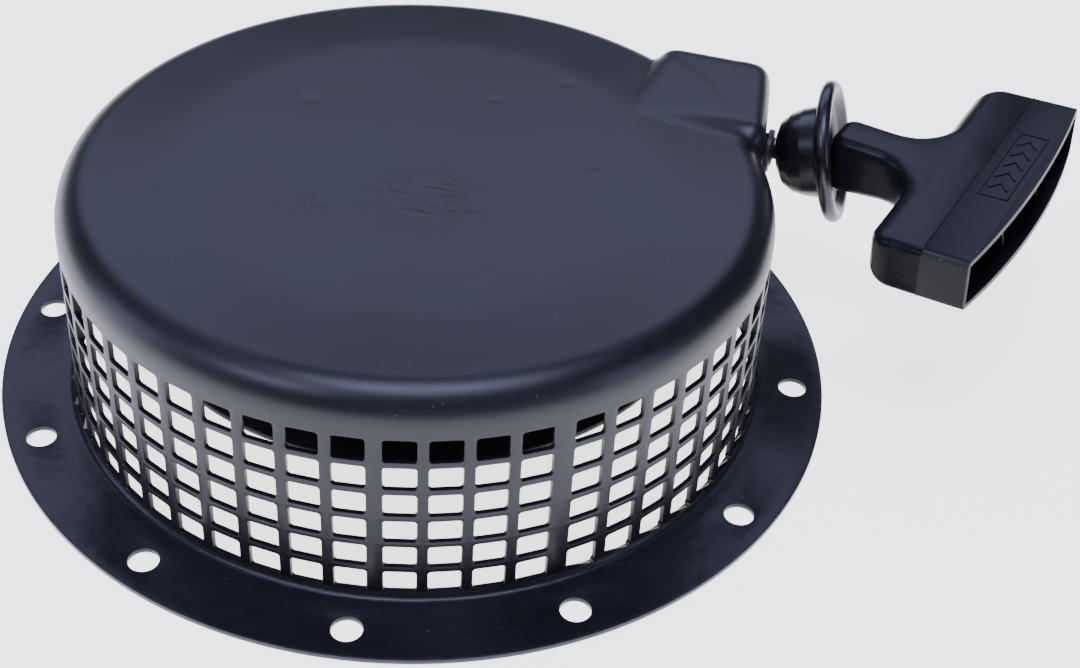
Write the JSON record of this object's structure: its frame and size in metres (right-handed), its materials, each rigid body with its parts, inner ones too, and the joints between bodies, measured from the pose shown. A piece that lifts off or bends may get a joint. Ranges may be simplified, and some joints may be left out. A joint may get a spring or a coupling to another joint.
{
  "type": "recoil starter",
  "caption": "Round perforated steel recoil starter with bolting flange, rope hood, spring-loaded rope reel, pawls and a pull handle.",
  "frame": {"origin": "middle of the whole object's footprint, on the underside of the bolting flange", "axes": "+Z from the engine side up through the crown, +X along the rope as it leaves the hood"},
  "size_m": [0.3339, 0.2698, 0.0805],
  "materials": {
    "cover_paint": "satin black baked paint",
    "zinc": "zinc plated",
    "spring_steel": "oil-tempered spring strip and wire",
    "bronze": "sintered bronze",
    "reel_plastic": "moulded black nylon",
    "rope": "braided black cord",
    "rubber": "satin black rubber",
    "handle_plastic": "semi-gloss moulded black plastic"
  },
  "bodies": {
    "housing": {"cover": "cover_paint", "rope_ferrule": "reel_plastic", "spindle_plate": "zinc", "spindle": "zinc", "recoil_spring": "spring_steel", "rope_run": "rope", "spacer_sleeve": "zinc", "screw_washer": "zinc", "centre_screw": "zinc", "friction_spring": "spring_steel"},
    "reel": {"reel": "reel_plastic", "reel_bush": "bronze", "spring_cover": "zinc", "spring_cover_screw_1": "zinc", "spring_cover_screw_2": "zinc", "spring_cover_screw_3": "zinc", "rope_coil": "rope", "rope_anchor_knot": "rope", "pawl_pin_1": "zinc", "pawl_pin_2": "zinc", "pawl_spring_1": "spring_steel", "pawl_spring_2": "spring_steel"},
    "pawl_1": {"pawl_1": "zinc"},
    "pawl_2": {"pawl_2": "zinc"},
    "friction_plate": {"friction_plate": "zinc"},
    "bumper": {"bumper": "rubber"},
    "handle": {"handle": "handle_plastic", "handle_rope": "rope", "handle_washer": "zinc", "handle_knot": "rope"}
  },
  "joints": [
    {"name": "reel_spin", "type": "hinge", "parent": "housing", "child": "reel", "pos_m": [-0.032, 0, 0.045], "axis": [0, 0, -1], "range_deg": [0, 720], "stiffness_Nm_per_rad": 0.06, "springref_deg": -343.77, "deforming": ["recoil_spring"]},
    {"name": "handle_pull", "type": "slide", "parent": "housing", "child": "bumper", "axis": [1, 0, 0], "range_m": [0, 1], "deforming": ["rope_run"]},
    {"name": "handle_swing", "type": "hinge", "parent": "bumper", "child": "handle", "pos_m": [0.0882, 0.0795, 0.057], "axis": [0, 0, 1], "range_deg": [-12, 30]},
    {"name": "friction_plate_lag", "type": "hinge", "parent": "reel", "child": "friction_plate", "pos_m": [-0.032, 0, 0.0403], "axis": [0, 0, 1], "range_deg": [0, 30]},
    {"name": "pawl_1_swing", "type": "hinge", "parent": "reel", "child": "pawl_1", "pos_m": [-0.00005, 0.01163, 0.046], "axis": [0, 0, 1], "range_deg": [-36.01, 0.01]},
    {"name": "pawl_2_swing", "type": "hinge", "parent": "reel", "child": "pawl_2", "pos_m": [-0.06395, -0.01163, 0.046], "axis": [0, 0, 1], "range_deg": [-36.01, 0.01]}
  ],
  "couplings": [
    {"joint": "handle_pull", "follows": "reel_spin", "m_per_rad": 0.0795},
    {"joint": "pawl_1_swing", "follows": "friction_plate_lag", "ratio": -1.2},
    {"joint": "pawl_2_swing", "follows": "friction_plate_lag", "ratio": -1.2}
  ]
}
